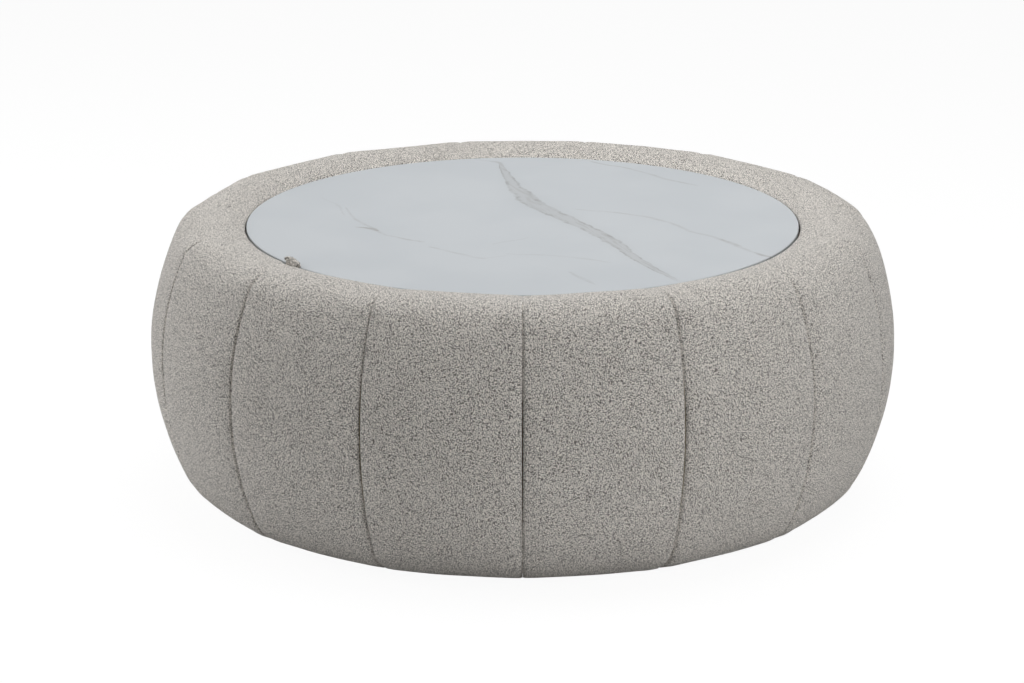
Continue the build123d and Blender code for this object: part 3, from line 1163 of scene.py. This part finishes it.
def pullStrap():
    bm = bmesh.new()
    hinge, upward, length = strapPath(bm)
    bmesh.ops.translate(bm, verts=bm.verts, vec=(0, -strap["width"] / 2, 0))
    made = bmesh.ops.extrude_edge_only(bm, edges=bm.edges[:])
    bmesh.ops.translate(bm, verts=vertsIn(made["geom"]), vec=(0, strap["width"], 0))
    wide = [edge for edge in bm.edges
            if abs(edge.verts[0].co.y - edge.verts[1].co.y) > strap["width"] / 2]
    bmesh.ops.subdivide_edges(bm, edges=wide, cuts=strap["columns"] - 1)
    shapeLoop(bm, hinge, upward)
    bmesh.ops.recalc_face_normals(bm, faces=bm.faces)
    turnAll(bm, cover["loopAngle"])
    piece = newPiece("pullStrap", bm, "cover_fabric", None)
    thicken = piece.modifiers.new("thickness", "SOLIDIFY")
    thicken.thickness = strap["layer"] * strap["clothShare"]
    thicken.offset = 0.0
    thicken.use_even_offset = True
    divide = piece.modifiers.new("divide", "SUBSURF")
    divide.levels = 1
    divide.render_levels = 1
    piece.data = finishedMesh(piece)
    piece.modifiers.clear()
    nubSize, nub = strap["nub"]
    low, high = strap["puffBand"]
    air, deep = strap["stoneAir"]
    normals = [vert.normal.copy() for vert in piece.data.vertices]
    for vert, normal in zip(piece.data.vertices, normals):
        free = ease(vert.co.z, hinge.z + low, hinge.z + high)
        vert.co += normal * free * (strap["puff"] + nub * noise.noise(vert.co / nubSize))
        if outFar(vert.co) < stoneHigh.x and vert.co.z > stoneHigh.z - deep:
            vert.co.z = max(vert.co.z, stoneHigh.z + air)
    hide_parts("tab_tail", "pull_tab")
    turn = Matrix.Rotation(cover["loopAngle"], 3, "Z")
    fold = Vector((-sin(strap["foldLean"]), 0, cos(strap["foldLean"])))
    low, high = strap["foldBand"]
    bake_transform(piece)
    print("strap", round(1000 * length), "mm long")


pullStrap()
print("lid dressed")


# Underside: the cloth that closes it, pulled tight under the hem and cut out round the glides
dust = {
    "segments": 180,
    "inner": 0.330,        # the glides stand between these two radii
    "outer": 0.380,
    "shares": (0.86, 0.72, 0.56, 0.40, 0.24, 0.10),
    "holes": 5,
    "holeCircle": 0.355,
    "holeRadius": 0.0153,
    "holeSegments": 32,
    "sag": 0.0016,
    "wave": (0.09, 0.0006),        # over what length, and how high
    "thickness": 0.0006,
}


def glideSpot(number):
    turn = -pi / 2 + (0.5 + 2 * number) * pi / dust["holes"]
    return (dust["holeCircle"] * cos(turn), dust["holeCircle"] * sin(turn), 0)


def ringEdges(bm, radius, segments, centre=(0, 0, 0)):
    made = bmesh.ops.create_circle(bm, radius=radius, segments=segments,
                                   matrix=Matrix.Translation(centre))
    return edgesAt(made["verts"])


def dustCover():
    low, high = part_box("dust_cover")
    bm = bmesh.new()
    rims = [ringEdges(bm, high.x, dust["segments"]), ringEdges(bm, dust["outer"], dust["segments"])]
    bmesh.ops.bridge_loops(bm, edges=rims[0] + rims[1])
    inner = ringEdges(bm, dust["inner"], dust["segments"])
    pierced = rims[1] + inner
    for number in range(dust["holes"]):
        pierced += ringEdges(bm, dust["holeRadius"], dust["holeSegments"], glideSpot(number))
    bmesh.ops.triangle_fill(bm, use_beauty=True, edges=pierced, normal=(0, 0, 1))
    for share in dust["shares"]:
        made = bmesh.ops.extrude_edge_only(bm, edges=inner)["geom"]
        verts = set(vertsIn(made))
        for vert in verts:
            vert.co *= share * dust["inner"] / vert.co.length
        inner = [part for part in made
                 if isinstance(part, bmesh.types.BMEdge) and verts.issuperset(part.verts)]
    bmesh.ops.contextual_create(bm, geom=inner)
    middle = (low.z + high.z) / 2
    waveSize, wave = dust["wave"]
    for vert in bm.verts:
        free = 1 - min(outFar(vert.co) / dust["inner"], 1.0) ** 2
        vert.co.z = middle + (wave * noise.noise(vert.co / waveSize) - dust["sag"]) * free
    bmesh.ops.recalc_face_normals(bm, faces=bm.faces)
    bmesh.ops.solidify(bm, geom=bm.faces[:], thickness=dust["thickness"])
    bmesh.ops.recalc_face_normals(bm, faces=bm.faces)
    piece = newPiece("dustCover", bm, "dust_cloth")
    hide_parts("dust_cover")
    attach(piece, "base")


dustCover()


# Glides and screws
glide = {
    "radius": 0.015,
    "height": 0.0118,
    "bore": 0.0023,
    "headBore": 0.0045,
    "headRoom": 0.0045,
    "ease": 0.00075,
    "easeSteps": 4,
    "segments": 64,
}


def glideFeet():
    # Turned plastic feet, each with a stepped bore for its screw
    bm = bmesh.new()
    corners = [(glide["bore"], glide["height"]), (glide["radius"], glide["height"]),
               (glide["radius"], 0), (glide["headBore"], 0),
               (glide["headBore"], glide["headRoom"]), (glide["bore"], glide["headRoom"])]
    for number in range(dust["holes"]):
        verts = [bm.verts.new((radius, 0, height)) for radius, height in corners]
        edges = [bm.edges.new((verts[i - 1], verts[i])) for i in range(len(verts))]
        bmesh.ops.spin(bm, geom=verts + edges, cent=(0, 0, 0), axis=(0, 0, 1), angle=2 * pi,
                       steps=glide["segments"], use_merge=True)
        fresh = [vert for vert in bm.verts if outFar(vert.co) < 2 * glide["radius"]]
        bmesh.ops.translate(bm, verts=fresh, vec=glideSpot(number))
    bmesh.ops.recalc_face_normals(bm, faces=bm.faces)
    feet = [edge for edge in bm.edges if max(vert.co.z for vert in edge.verts) < tiny]
    feet = [edge for edge in feet if edge.calc_face_angle() > 1]
    roundOff(bm, feet, glide["ease"], glide["easeSteps"])
    piece = newPiece("glideFeet", bm, "glide_plastic")
    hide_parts("glides")
    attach(piece, "base")


def islands(name):
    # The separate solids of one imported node, each as its vertices' places
    bm = bmesh.new()
    bm.from_mesh(frame["nodes"][name].data)
    bmesh.ops.remove_doubles(bm, verts=bm.verts, dist=tiny)
    reached = set()
    for first in bm.verts:
        if first in reached:
            continue
        reached.add(first)
        solid = [first]
        for vert in solid:
            for other in [edge.other_vert(vert) for edge in vert.link_edges]:
                if other not in reached:
                    reached.add(other)
                    solid.append(other)
        yield [frame["nodes"][name].matrix_world @ vert.co for vert in solid]
    bm.free()


cross = {
    "segments": 24,
    "rimShare": 0.16,      # shares of the head's height
    "depthShare": 0.6,
    "flatShare": 0.8,      # and of its radius
    "armShare": 0.62,
    "webShare": 0.2,
    "armTurn": pi / 10,
    "floorShare": 0.6,     # of the cross at its bottom
    "tipShare": 2.0,       # the point's length, in shank radii
    "tipEndShare": 0.3,
    "pitchShare": 0.55,
    "coreShare": 0.78,
    "headFrom": 0.98,      # in a plain screw, what lies past this share of its radius is head
    "shankTo": 0.8,
    "twist": (7.3, 3.1),   # no two crosses stand alike
}


def carry(bm, face, radius, rise):
    # Carries a round end face on to another height and radius, which may differ all round
    face = bmesh.ops.extrude_discrete_faces(bm, faces=[face])["faces"][0]
    centre = face.calc_center_median()
    for vert in face.verts:
        out = vert.co - centre
        reach = radius(atan2(out.y, out.x)) if callable(radius) else radius
        vert.co = centre + out * (reach / out.length) + Vector((0, 0, rise))
    return face


def crossScrew(length, radius, headRadius, headHeight):
    # A countersunk screw with ridges along its shank and a cross in its head, whose top is at 0
    bm = bmesh.new()
    tip = cross["tipShare"] * radius
    made = bmesh.ops.create_cone(bm, cap_ends=True, segments=cross["segments"],
                                 radius1=cross["tipEndShare"] * radius,
                                 radius2=cross["coreShare"] * radius, depth=tip,
                                 matrix=Matrix.Translation((0, 0, -headHeight - length + tip / 2)))
    face = max({face for vert in made["verts"] for face in vert.link_faces},
               key=lambda face: face.calc_center_median().z)
    pitch = cross["pitchShare"] * radius
    turns = int((length - tip) / (2 * pitch))
    pitch = (length - tip) / (2 * turns)
    for number in range(turns):
        face = carry(bm, face, radius, pitch)
        face = carry(bm, face, cross["coreShare"] * radius, pitch)
    rim = cross["rimShare"] * headHeight
    face = carry(bm, face, headRadius, headHeight - rim)
    face = carry(bm, face, headRadius, rim)

    def star(angle):
        arm = abs((angle + pi / 4) % (pi / 2) - pi / 4) < cross["armTurn"]
        return headRadius * (cross["armShare"] if arm else cross["webShare"])

    face = carry(bm, face, cross["flatShare"] * headRadius, 0.0)
    face = carry(bm, face, star, 0.0)
    carry(bm, face, lambda angle: cross["floorShare"] * star(angle),
          -cross["depthShare"] * headHeight)
    return bm


def crossScrews(name, node, body):
    # Puts a drawn screw in the place of each plain one of the node
    bm = bmesh.new()
    for verts in islands(node):
        low, high = [Vector(pick(place[axis] for place in verts) for axis in range(3))
                     for pick in (min, max)]
        centre = (low + high) / 2
        rings = [(outFar(place - centre), place.z) for place in verts]
        headRadius = max(rings)[0]
        heads = [height for far, height in rings if far > cross["headFrom"] * headRadius]
        radius = max(far for far, height in rings if far < cross["shankTo"] * headRadius)
        headUp = max(heads) > high.z - tiny
        headHeight = max(heads) - min(heads)
        screw = crossScrew(high.z - low.z - headHeight, radius, headRadius, headHeight)
        turn = Matrix.Rotation(0 if headUp else pi, 4, "X")
        place = Matrix.Translation((centre.x, centre.y, high.z if headUp else low.z))
        twist = Matrix.Rotation(centre.xy.dot(cross["twist"]), 4, "Z")
        bmesh.ops.transform(screw, verts=screw.verts, matrix=place @ turn @ twist)
        mesh = bpy.data.meshes.new("screw")
        screw.to_mesh(mesh)
        screw.free()
        bm.from_mesh(mesh)
        bpy.data.meshes.remove(mesh)
    bmesh.ops.recalc_face_normals(bm, faces=bm.faces)
    piece = newPiece(name, bm, "screw_steel")
    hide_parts(node)
    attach(piece, body)


glideFeet()
crossScrews("glideScrews", "glide_screws", "base")
crossScrews("frameScrews", "frame_screws", "base")
crossScrews("tabScrews", "tab_screws", "lid")
print("underside made")

# Floor, lights and camera
studio = {
    "ambient": 0.08,
    "floorSize": 14.0,
    "floorGlow": 0.9,
    "floorWhite": 1.05,
    "floorGrey": (0.85, 0.85, 0.85, 1),
    "lights": {            # place, what it points at, width and power
        "overhead": ((0.3, 0.2, 2.6), (0, 0, 0.2), 2.4, 51.0),
        "rightFront": ((1.8, -2.5, 1.4), (0, 0, 0.2), 1.8, 16.5),
        "right": ((2.65, -1.5, 1.4), (0, 0, 0.2), 1.8, 13.5),
        "left": ((-3.0, 0.0, 1.3), (0, 0, 0.2), 1.4, 27.0),
        "leftBack": ((-2.6, 1.6, 1.3), (0, 0, 0.2), 1.4, 17.0),
    },
}


def floorPlane():
    bm = bmesh.new()
    bmesh.ops.create_grid(bm, x_segments=1, y_segments=1, size=studio["floorSize"])
    plane = linked("floor", bm)
    bm.free()
    paint = newPaint("studioFloor")
    seen = paint.add("ShaderNodeLightPath", out="Is Camera Ray")
    white = paint.add("ShaderNodeEmission", None,
                      {"Color": (1, 1, 1, 1), "Strength": studio["floorWhite"]})
    matte = paint.add("ShaderNodeBsdfDiffuse", None, {"Color": studio["floorGrey"]})
    shader = paint.add("ShaderNodeMixShader", None,
                       {0: seen * studio["floorGlow"], 1: matte, 2: white})
    plane.data.materials.append(paint.show(shader))


def studioWorld():
    world = bpy.data.worlds.new("studio")
    scene.world = world
    paint = Paint(world)
    ray = [paint.add("ShaderNodeLightPath", out=f"Is {kind} Ray")
           for kind in ("Camera", "Glossy", "Transmission")]
    direct = ray[0] + ray[1] + ray[2]
    strength = paint.between(direct, 0.0, 1.0, studio["ambient"], 1.0)
    sky = paint.add("ShaderNodeBackground", None, {"Color": (1, 1, 1, 1), "Strength": strength})
    paint.add("ShaderNodeOutputWorld", None, {"Surface": sky})


def softbox(name, place, aim, size, power):
    light = bpy.data.lights.new(name, "AREA")
    light.shape = "DISK"
    light.size = size
    light.energy = power
    lamp = bpy.data.objects.new(name, light)
    scene.collection.objects.link(lamp)
    lamp.location = place
    lamp.rotation_euler = (Vector(aim) - Vector(place)).to_track_quat("-Z", "Y").to_euler()


floorPlane()
studioWorld()
for name, (place, aim, size, power) in studio["lights"].items():
    softbox(name, place, aim, size, power)

view = {
    "sensor": 36.0,
    "lens": 121.6,
    "distance": 4.69,
    "elevation": 16.24,
    "target": 0.208,
    "shiftX": -0.0103,
    "shiftY": -0.0095,
}


def setCamera():
    camera = bpy.data.objects.new("camera", bpy.data.cameras.new("camera"))
    scene.collection.objects.link(camera)
    scene.camera = camera
    camera.data.lens = view["lens"]
    camera.data.sensor_width = view["sensor"]
    camera.data.shift_x = view["shiftX"]
    camera.data.shift_y = view["shiftY"]
    tilt = radians(view["elevation"])
    back = Vector((0, -cos(tilt), sin(tilt)))
    camera.location = Vector((0, 0, view["target"])) + back * view["distance"]
    camera.rotation_euler = (-back).to_track_quat("-Z", "Y").to_euler()


setCamera()
print("studio set")
